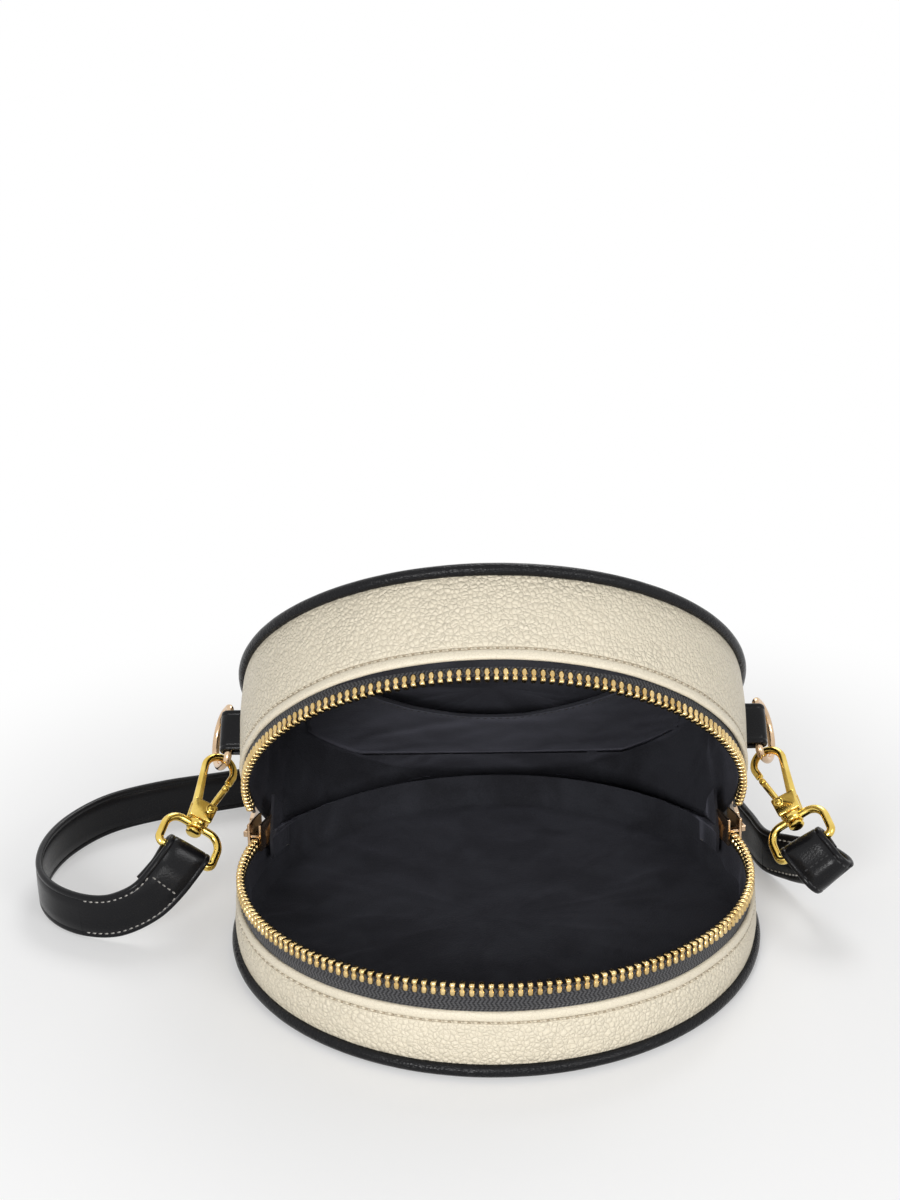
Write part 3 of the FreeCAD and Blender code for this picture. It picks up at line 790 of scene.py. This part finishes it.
# Soft gusset fold behind the zip ends. Its shut shape is an upright wall between the two gussets; each
# of its points is drawn where that wall's point lies when the bag is open. A point follows the front
# shell more, by fold_spread for each millimetre of radius and fold_rise for each of height.
fold_foot = 96.5
fold_head = lining_inner - 1.3
fold_spread = 0.25
fold_rise = 0.3
fold_pleat = 0.5
fold_slack = 2.2
fold_root = 8.0
fold_cover = 2.0
fold_ceiling = roof_lining - 1.8
fold_base = rim_height - tape_reveal / tilt + 0.4
fold_half = 0.65
fold_tuck = 5.2
fold_steps = 14
fold_angles = (17.0, 26.0, 35.0, 44.0, 53.0, 62.0, 71.0, 80.5, 90.0)


def shut(p):
    """Carry a point of the open front shell to its shut place."""
    return hinge + swing_open.transposed() @ (p - hinge)


def fold_point(angle, fit, share, inset):
    """A point of the bending part: share of its way up, inset behind the fold's middle."""
    turn = math.radians(angle)
    follow = ease(share, 0, 1)
    swing = math.radians(open_angle) * follow
    wall = fold_foot + (fold_head - fold_foot) * follow - inset
    steep = fold_rise / fold_spread
    low, high = -25.0, 45.0
    for _ in range(40):
        height = (low + high) / 2
        radius = share / fold_spread + fold_foot - steep * (height - fold_base)
        radius /= fit + steep * slope * math.sin(turn)
        y = (radius * math.sin(turn) - hinge_y) * math.cos(swing) - (height - hinge_z) * math.sin(swing)
        if math.hypot(radius * math.cos(turn), hinge_y + y) > wall:
            low = height
        else:
            high = height
    return polar(angle, radius, height)


def fold_sheet(angle, fit, face):
    """One face of the fold at an angle, from behind the back gusset to behind the front one."""
    pleat = fold_pleat * math.sin(angle * 0.45) * ease(angle, 35, 50)
    tuck = fold_tuck * (1 - ease(angle, 22, 33))
    sheet = []
    for k in range(fold_steps + 1):
        share = k / fold_steps
        bulge = math.sin(math.pi * share)
        depth = fold_half + fold_slack * bulge if face > 0 else -fold_half
        sheet.append(fold_point(angle, fit, share, depth + pleat * bulge + tuck))
    sheet.insert(0, sheet[0] - Z_AXIS * fold_root)
    last = shut(sheet[-1])
    top = max(last.z + 1.5, min(front_edge(last.y) + fold_cover, fold_ceiling))
    for k in range(1, 4):
        sheet.append(opened(Vector((last.x, last.y, last.z + (top - last.z) * k / 3))))
    return sheet


def fold_length(name, first, last, side):
    """One length of the fold between two angles; side -1 draws it on the left."""
    mirror = Vector((side, 1, 1))
    middle = (first + last) / 2
    flat = math.cos(math.radians(last - first) / 2)
    rings = []
    for i in range(9):
        angle = first + (last - first) * i / 8
        fit = math.cos(math.radians(angle - middle)) / flat
        inner = fold_sheet(angle, fit, 1)
        outer = fold_sheet(angle, fit, -1)
        rings.append([p * mirror for p in inner + outer[::-1]])
    for end in (0, -1):
        ring = rings[end]
        closed = [(p + q) / 2 for p, q in zip(ring, ring[::-1])]
        rings.insert(0 if end == 0 else len(rings), closed)
    mesh = skin(name, rings, ends=False)
    piece = finished(name, mesh, [cream_leather, lining_suede], sharp=40)
    count = len(rings[0])
    for polygon in mesh.polygons:
        strip, place = divmod(polygon.index, count)
        if strip in (0, len(rings) - 2) or place < count / 2:
            polygon.material_index = 1
    way = (polar(middle, fold_spread / flat, fold_rise) + Y_AXIS * (fold_rise * slope)) * mirror
    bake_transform(piece)
    return piece


for word, side in (("right", 1), ("left", -1)):
    for i, (first, last) in enumerate(zip(fold_angles, fold_angles[1:])):
        fold_length(f"base_gusset_{word}_{i + 1}", first, last, side)
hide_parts("base_gusset")

# Fittings, drawn on the right; side -1 gives their mirror image on the left.
bar_x = 103.5
tab_height = 59.0
tab_half = 8.4
tab_leather = 1.6
ring_wire = 1.5
ring_half = 11.5
ring_leg = 6.0
ring_corner = 3.0
ring_swing = math.radians(65)
hook_wire = 1.5
bow_radius = 6.0
bow_centre = 24.5
nose_drop = 4.0
nose_x = -5.283
gate_top = 19.6
block_height = 8.0
rivet_x = -2.4
rivet_z = 5.6
eye_wire = 1.6
eye_half = 11.8
eye_top = -2.4
eye_bar = -15.8
hook_lean = Vector((0.253, -0.858, -0.449)).normalized()
ring_out = Vector((math.cos(ring_swing), math.sin(ring_swing), 0))
hook_seat = 9.0
seat_station = 26.6
seat_drop = math.sqrt(ring_half**2 - (hook_seat - ring_leg) ** 2)
seat = opened(Vector((bar_x, 0, tab_height - seat_drop)) + ring_out * hook_seat)
hook_origin = seat + hook_lean * seat_station


def axes_of(across, along):
    z = along.normalized()
    x = (across - z * across.dot(z)).normalized()
    return x, z.cross(x), z


hook_axes = axes_of(hook_lean.cross(swing_open @ ring_out), -hook_lean)
eye_axes = axes_of(Vector((0.77, 0, 0.64)), -hook_lean)


def mirrored(p, side):
    return Vector((p.x * side, p.y, p.z))


def placer(origin, axes, side):
    """A function from a fitting's own x, y and z to the bag's frame."""
    return lambda x, y, z: mirrored(origin + axes[0] * x + axes[1] * y + axes[2] * z, side)


def rounded(corners, radii, steps):
    """A path of points through corners, each rounded by its own radius."""
    path = []
    count = len(corners)
    for i, here in enumerate(corners):
        before = (corners[i - 1] - here).normalized()
        after = (corners[(i + 1) % count] - here).normalized()
        half = before.angle(after) / 2
        centre = here + (before + after).normalized() * (radii[i] / math.sin(half))
        start = here + before * (radii[i] / math.tan(half)) - centre
        end = here + after * (radii[i] / math.tan(half)) - centre
        path += [centre + start.slerp(end, k / steps).normalized() * radii[i] for k in range(steps + 1)]
    return path


def plate(name, outline, low, high, bevel, at):
    """A plate with rounded edges: an outline of x and z pairs between two y values."""
    points = rounded([Vector((x, 0, z)) for x, z in outline], [0.7] * len(outline), 4)
    middle = sum(points, Vector()) / len(points)
    rings = []
    for y, inset in ((low, bevel), (low + bevel * 0.35, bevel * 0.35), (low + bevel, 0)):
        rings.append((y, inset))
    rings += [(low + high - y, inset) for y, inset in rings[::-1]]
    made = []
    for y, inset in rings:
        ring = []
        for p in points:
            away = p - middle
            q = middle + away * (1 - inset / away.length)
            ring.append(at(q.x, y, q.z))
        made.append(ring)
    return skin(name, made)


def bored(name, origin, along, profile, bore, count=28):
    """A lathe ring with a hole through it."""
    across = along.orthogonal().normalized()
    up = along.cross(across)
    loop = list(profile) + [(s, bore) for s, _ in (profile[-1], profile[0])]
    return skin(name, [circle(origin + along * s, across, up, r, count) for s, r in loop], loop=True)


# A flat leather strip: shares of its half width and half thickness, with a groove beside each edge.
strip_face_shares = (
    (-1.0, 0.0), (-0.985, 0.5), (-0.95, 0.86), (-0.89, 1.0), (-0.8, 1.0), (-0.755, 0.78), (-0.71, 1.0),
    (-0.36, 1.05), (0, 1.07), (0.36, 1.05), (0.71, 1.0), (0.755, 0.78), (0.8, 1.0), (0.89, 1.0),
    (0.95, 0.86), (0.985, 0.5),
)
strip_shares = strip_face_shares + tuple((-a, -t) for a, t in strip_face_shares)


def strip(name, path, wides, half_wide, half_thick):
    """A strip along a path, with the way its width points at each place."""
    rings = []
    last = len(path) - 1
    for i, p in enumerate(path):
        way = (path[min(i + 1, last)] - path[max(i - 1, 0)]).normalized()
        wide = (wides[i] - way * wides[i].dot(way)).normalized()
        thick = way.cross(wide)
        rings.append([p + wide * (half_wide * a) + thick * (half_thick * t) for a, t in strip_shares])
    return skin(name, rings)


def tab(word, side):
    loop_radius = ring_wire + 0.3 + tab_leather / 2
    legs = [(96.4, 2.9), (97.6, 2.75), (99.5, loop_radius), (101.5, loop_radius)]
    path = [Vector((x, -y, 0)) for x, y in legs]
    path += arc(Vector((bar_x, 0, 0)), X_AXIS, Y_AXIS, loop_radius, -90, 90, 18)
    path += [Vector((x, y, 0)) for x, y in legs[::-1]]
    path = [mirrored(opened(p + Vector((0, 0, tab_height))), side) for p in path]
    wide = swing_open @ Z_AXIS
    name = word + "_tab_leather"
    mesh = strip(name, path, [wide] * len(path), tab_half, tab_leather / 2)
    finished(name, mesh, strap_leather, "front_shell", [word + "_tab"], 45)


def d_ring(word, side):
    upper = Vector((ring_corner, 0, ring_half - ring_corner))
    lower = Vector((ring_corner, 0, ring_corner - ring_half))
    path = [Vector((0, 0, z)) for z in (-8.5, -4, 0, 4, 8.5)]
    path += arc(upper, X_AXIS, Z_AXIS, ring_corner, 180, 90, 8)[1:]
    path += arc(Vector((ring_leg, 0, 0)), X_AXIS, Z_AXIS, ring_half, 90, -90, 40)
    path += arc(lower, X_AXIS, Z_AXIS, ring_corner, -90, -180, 8)[:-1]
    bar = Vector((bar_x, 0, tab_height))
    path = [mirrored(opened(bar + ring_out * p.x + Z_AXIS * p.z), side) for p in path]
    hint = mirrored(swing_open @ Vector((-ring_out.y, ring_out.x, 0)), side)
    name = word + "_d_ring_wire"
    mesh = wire(name, path, ring_wire, hint, loop=True, count=18)
    finished(name, mesh, rose_gold, word + "_ring", [word + "_d_ring"])


def hook(word, side):
    at = placer(hook_origin, hook_axes, side)
    zero = at(0, 0, 0)
    normal = at(0, 1, 0) - zero
    along = at(0, 0, 1) - zero
    name = word + "_hook_body"
    path = [at(3 + 3 * k / 6, 0, 6 + (bow_centre - 6) * k / 6) for k in range(6)]
    for k in range(25):
        turn = math.pi * k / 24
        path.append(at(bow_radius * math.cos(turn), 0, bow_centre + bow_radius * math.sin(turn)))
    for share in (0.4, 0.75, 0.93, 1.0):
        path.append(at(-bow_radius + (nose_x + bow_radius) * share, 0, bow_centre - nose_drop * share))
    sizes = [1.95, 1.85, 1.75, 1.65, 1.58, 1.52] + [hook_wire] * 25 + [hook_wire, 1.52, 1.5, 1.1]
    parts = [wire(name, path, sizes, normal, count=18)]
    face = ((-4.5, 0), (4.5, 0), (5.0, block_height), (-5.0, block_height))
    parts.append(plate(name, face, 1.3, 2.75, 0.5, at))
    parts.append(plate(name, face, -2.75, -1.3, 0.5, at))
    parts.append(plate(name, ((1.0, 0.3), (4.3, 0.3), (4.7, 7.7), (1.0, 7.7)), -1.5, 1.5, 0.2, at))
    parts.append(plate(name, ((-4.2, 0.3), (4.2, 0.3), (4.2, 2.8), (-4.2, 2.8)), -1.5, 1.5, 0.2, at))
    pin = ((-3.35, 0.35), (-3.3, 0.8), (-3.05, 1.1), (-2.9, 1.15), (-2.95, 1.75), (-2.7, 2.0), (-2.5, 2.0))
    pin += tuple((-s, r) for s, r in pin[::-1])
    pin = [(s, r if abs(s) > 2.5 else 1.1) for s, r in pin]
    parts.append(turned(name, at(rivet_x, 0, rivet_z), normal, pin))
    stem = ((0.3, 3.0), (-0.1, 2.9), (-0.3, 2.3), (-0.4, 1.7), (-4.7, 1.7), (-4.8, 2.5), (-5.1, 3.0))
    stem += ((-5.7, 3.05), (-6.3, 2.5), (-6.6, 1.4), (-6.65, 0.4))
    parts.append(turned(name, zero, along, stem, 28))
    finished(name, joined(name, parts), bright_gold, word + "_hook", [word + "_hook"], 40)


def gate(word, side):
    at = placer(hook_origin, hook_axes, side)
    normal = at(0, 1, 0) - at(0, 0, 0)
    name = word + "_gate_rod"
    foot = (rivet_x, rivet_z + 1.2)
    stations = ((0, 0.9), (0.1, 1.15), (0.25, 1.28), (0.5, 1.3), (0.72, 1.3), (0.8, 1.3), (0.815, 1.08))
    stations += ((0.835, 1.08), (0.85, 1.32), (0.95, 1.34), (0.985, 1.2), (1.0, 0.8))
    path = []
    for share, _ in stations:
        path.append(at(foot[0] + (nose_x - foot[0]) * share, 0, foot[1] + (gate_top - foot[1]) * share))
    parts = [wire(name, path, [size for _, size in stations], normal, count=16)]
    boss = ((-0.95, 1.5), (-0.8, 1.75), (0.8, 1.75), (0.95, 1.5))
    parts.append(bored(name, at(rivet_x, 0, rivet_z), normal, boss, 1.35))
    finished(name, joined(name, parts), bright_gold, word + "_gate", [word + "_gate"], 50)


def eye(word, side):
    at = placer(hook_origin, eye_axes, side)
    zero = at(0, 0, 0)
    name = word + "_eye_frame"
    places = ((-eye_half, eye_bar), (eye_half, eye_bar), (eye_half, eye_top), (-eye_half, eye_top))
    corners = [at(x, 0, z) for x, z in places]
    path = rounded(corners, [2.4, 2.4, 6.0, 6.0], 10)
    parts = [wire(name, path, eye_wire, at(0, 1, 0) - zero, loop=True, count=18)]
    collar = ((-0.45, 2.7), (-0.7, 3.25), (-1.2, 3.55), (-1.7, 3.4), (-2.1, 3.15), (-2.7, 3.15))
    collar += ((-3.1, 3.4), (-3.6, 3.55), (-4.1, 3.25), (-4.35, 2.7))
    parts.append(bored(name, zero, at(0, 0, 1) - zero, collar, 2.0))
    finished(name, joined(name, parts), bright_gold, word + "_eye", [word + "_eye"], 50)


for word, side in (("right", 1), ("left", -1)):
    tab(word, side)
    d_ring(word, side)
    hook(word, side)
    gate(word, side)
    eye(word, side)

# Shoulder strap: one route from the left eye's bar, round behind the bag, to the right eye's bar.
stand = 9.4
strap_half = 9.0
strap_half_thick = 1.3
wrap_radius = 3.2
layer_shift = 1.45
wrap_run = 9.0
left_route = [
    (-123.5, -1.5, 23.5, -0.75, -0.10, 0.65),
    (-132.0, -6.5, 16.5, -0.50, -0.10, 0.86),
    (-143.5, -8.0, 11.0, -0.20, 0.0, 0.98),
    (-157.0, -4.5, stand, 0, 0, 1),
    (-170.0, 5.0, stand, 0, 0, 1),
    (-178.0, 20.0, stand, 0, 0, 1),
    (-179.5, 40.0, stand, 0, 0, 1),
    (-174.0, 60.0, stand, 0, 0, 1),
    (-161.0, 78.0, stand, 0, 0, 1),
    (-140.0, 90.0, stand, 0, 0, 1),
    (-115.0, 98.0, stand, 0, 0, 1),
    (-88.0, 108.0, stand, 0, 0, 1),
    (-60.0, 122.0, stand, 0, 0, 1),
    (-31.0, 134.0, stand, 0, 0, 1),
    (0.0, 138.5, stand, 0, 0, 1),
]
right_route = [
    (122.3, -1.9, 25.5, 0.75, -0.04, 0.65),
    (124.5, -3.33, 23.4, 0.70, 0.0, 0.71),
    (126.7, -1.92, 21.25, 0.70, 0.0, 0.71),
    (127.3, 1.3, 20.6, 0.70, 0.0, 0.71),
    (123.5, 14.0, 17.5, 0.50, 0.10, 0.86),
    (116.0, 27.0, 12.8, 0.20, 0.05, 0.98),
    (108.0, 40.0, stand, 0, 0, 1),
    (103.5, 56.0, stand, 0, 0, 1),
    (97.0, 78.0, stand, 0, 0, 1),
    (84.0, 104.0, stand, 0, 0, 1),
    (60.0, 124.0, stand, 0, 0, 1),
    (31.0, 135.0, stand, 0, 0, 1),
]


def bar_row(side):
    at = placer(hook_origin, eye_axes, side)
    bar = at(0, 0, eye_bar)
    return (*bar, *(at(1, 0, eye_bar) - bar))


route = [bar_row(-1)] + left_route + right_route[::-1] + [bar_row(1)]
per_run = 10
strap_path = smooth_route([Vector(row[:3]) for row in route], per_run)
strap_wide = smooth_route([Vector(row[3:]).normalized() for row in route], per_run)
left_cut = 4 * per_run
right_cut = (len(route) - 8) * per_run


def strap_face(path, wides, i):
    """The way the strap's face points at one place of a path."""
    way = path[min(i + 1, len(path) - 1)] - path[max(i - 1, 0)]
    return way.cross(wides[i]).normalized()


def strap_end(word, path, wides, tail_length, merge_end, seam, threads):
    """The end that wraps the eye's bar and is sewn back on itself; path runs away from the bar."""
    far = [0.0]
    for a, b in zip(path, path[1:]):
        far.append(far[-1] + (b - a).length)
    outs = [strap_face(path, wides, i) for i in range(len(path))]
    if outs[0].z < 0:
        outs = [-out for out in outs]

    def layer(i, sign):
        spread = wrap_radius + (layer_shift - wrap_radius) * ease(far[i], 0, wrap_run)
        if sign > 0:
            spread *= 1 - ease(far[i], tail_length, merge_end)
        return path[i] + outs[i] * (sign * spread)

    tail = [i for i in range(1, len(path)) if far[i] < tail_length][::-1]
    run = (path[1] - path[0]).normalized()
    turn = arc(path[0], -outs[0], -run, wrap_radius, 0, 180, 18)
    front = list(range(1, len(path)))
    whole = [layer(i, -1) for i in tail] + turn + [layer(i, 1) for i in front]
    whole_wide = [wides[i] for i in tail] + [wides[0]] * len(turn) + [wides[i] for i in front]
    name = word + "_strap_end"
    mesh = strip(name, whole, whole_wide, strap_half, strap_half_thick)
    piece = finished(name, mesh, strap_leather, None, sharp=45)
    top = strap_half_thick * 0.86
    pieces = [piece]
    for face, first, thread_finish in ((1, seam, threads[0]), (-1, tail_length + 2, threads[1])):
        places = [i for i in front if far[i] >= first]
        outward = [outs[i] * face for i in places]
        parts = []
        for row in (-0.755, 0.755):
            line = [layer(i, 1) + wides[i] * (strap_half * row) + outs[i] * (face * top) for i in places]
            parts.append(stitches(name, line, outward, 2.5, 1.6, 0.34, -0.14))
        middle = layer(places[0], 1) + outward[0] * (strap_half_thick * 1.02)
        line = [middle + wides[places[0]] * (strap_half * 0.76 * (k / 6 - 1)) for k in range(13)]
        parts.append(stitches(name, line, [outward[0]] * len(line), 2.4, 1.6, 0.34, -0.1))
        sewn = name + ("_face_stitches" if face > 0 else "_under_stitches")
        pieces.append(finished(sewn, joined(sewn, parts), thread_finish, None))
    for one in pieces:
        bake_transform(one)


strap_end(
    "left", strap_path[:left_cut + 1], strap_wide[:left_cut + 1], 20.0, 34.0, 13.0,
    (grey_thread, black_thread),
)
strap_end(
    "right", strap_path[right_cut:][::-1], strap_wide[right_cut:][::-1], 7.0, 30.0, 8.0,
    (black_thread, grey_thread),
)
far_path = strap_path[left_cut:right_cut + 1]
far_wide = strap_wide[left_cut:right_cut + 1]
strap_mesh = strip("strap_back", far_path, far_wide, strap_half, strap_half_thick)
strap_nodes = ["left_strap", "right_strap"]
finished("strap_back", strap_mesh, strap_leather, "back_shell", strap_nodes, 45)

# Zip sliders, pulls and boards keep their CAD shape, with eased edges on the metal.


def eased(node, material, width):
    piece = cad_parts[node]
    piece.data.materials.clear()
    piece.data.materials.append(material)
    if width:
        weld = piece.modifiers.new("weld", "WELD")
        weld.merge_threshold = 0.00001
        bevel = piece.modifiers.new("ease", "BEVEL")
        bevel.width = width * MM
        bevel.segments = 3
        bevel.limit_method = "ANGLE"
        bevel.angle_limit = math.radians(35)
        bevel.harden_normals = True


for word in ("left", "right"):
    eased(word + "_slider", rose_gold, 0.3)
    eased(word + "_pull", rose_gold, 0.25)
eased("back_board", board_finish, 0)
eased("front_board", board_finish, 0)

# Floor, light and camera.
floor_half = 3.0
floor_level = -0.0003
floor_mesh = bpy.data.meshes.new("floor")
floor_corners = [(-1, -1), (1, -1), (1, 1), (-1, 1)]
floor_points = [(x * floor_half, y * floor_half, floor_level) for x, y in floor_corners]
floor_mesh.from_pydata(floor_points, [], [(0, 1, 2, 3)])
floor_finish, start = opened_finish("pale_floor")
place = start.node("TexCoord", output="Object")
reach = start.node("VectorMath", {"operation": "LENGTH"}, {0: place}, "Value")
pale_inputs = {"Base Color": rgb(0.93, 0.93, 0.93), "Roughness": 0.9, "Specular IOR Level": 0.1}
pale = start.node("BsdfPrincipled", None, pale_inputs)
glow = start.node("Emission", None, {"Color": rgb(1, 1, 1), "Strength": 1.0})


def seen_directly(start):
    """1 for rays from the camera, a mirror or clear matter, 0 for the rays that light things."""
    kinds = ("Is Camera Ray", "Is Glossy Ray", "Is Transmission Ray")
    camera_ray, glossy, through = [start.node("LightPath", None, None, kind) for kind in kinds]
    return start.maths("MINIMUM", camera_ray + glossy + through, 1.0)


share = seen_directly(start) * (0.3 + 0.7 * reach.between(0.15, 0.34))
mixed = start.node("MixShader", None, {0: share, 1: pale, 2: glow})
start.node("OutputMaterial", None, {"Surface": mixed})
floor_mesh.materials.append(floor_finish)
floor = bpy.data.objects.new("floor", floor_mesh)
bpy.context.scene.collection.objects.link(floor)

world = bpy.data.worlds.new("studio")
bpy.context.scene.world = world
world.use_nodes = True
world.node_tree.nodes.clear()
sky = Wire(world.node_tree)
strength = 0.38 + 0.62 * seen_directly(sky)
background = sky.node("Background", None, {"Color": rgb(1, 1, 1), "Strength": strength})
sky.node("OutputWorld", None, {"Surface": background})


def lamp(name, place, target, size, power):
    light = bpy.data.lights.new(name, "AREA")
    light.size = size
    light.energy = power
    holder = bpy.data.objects.new(name, light)
    holder.location = place
    holder.rotation_euler = (Vector(target) - Vector(place)).to_track_quat("-Z", "Y").to_euler()
    bpy.context.scene.collection.objects.link(holder)


lamp("key", (-0.42, -1.3, 0.52), (0, 0, 0.06), 0.42, 12.0)
lamp("fill", (0.85, -1.0, 0.6), (0, 0, 0.06), 0.5, 5.5)
lamp("rim", (0.2, 1.0, 1.2), (0, 0, 0.06), 0.6, 7.0)

camera_data = bpy.data.cameras.new("camera")
camera_data.lens = 57.63
camera_data.sensor_width = 36.0
camera_data.clip_start = 0.01
camera = bpy.data.objects.new("camera", camera_data)
camera.matrix_world = (
    Matrix.Translation((0, -0.640, 0.382))
    @ Matrix.Rotation(math.radians(1.3), 4, "Z")
    @ Matrix.Rotation(math.radians(90 - 21.2), 4, "X")
    @ Matrix.Rotation(math.radians(-1.3), 4, "Z")
)
bpy.context.scene.collection.objects.link(camera)
bpy.context.scene.camera = camera
bpy.context.scene.view_settings.view_transform = "Standard"
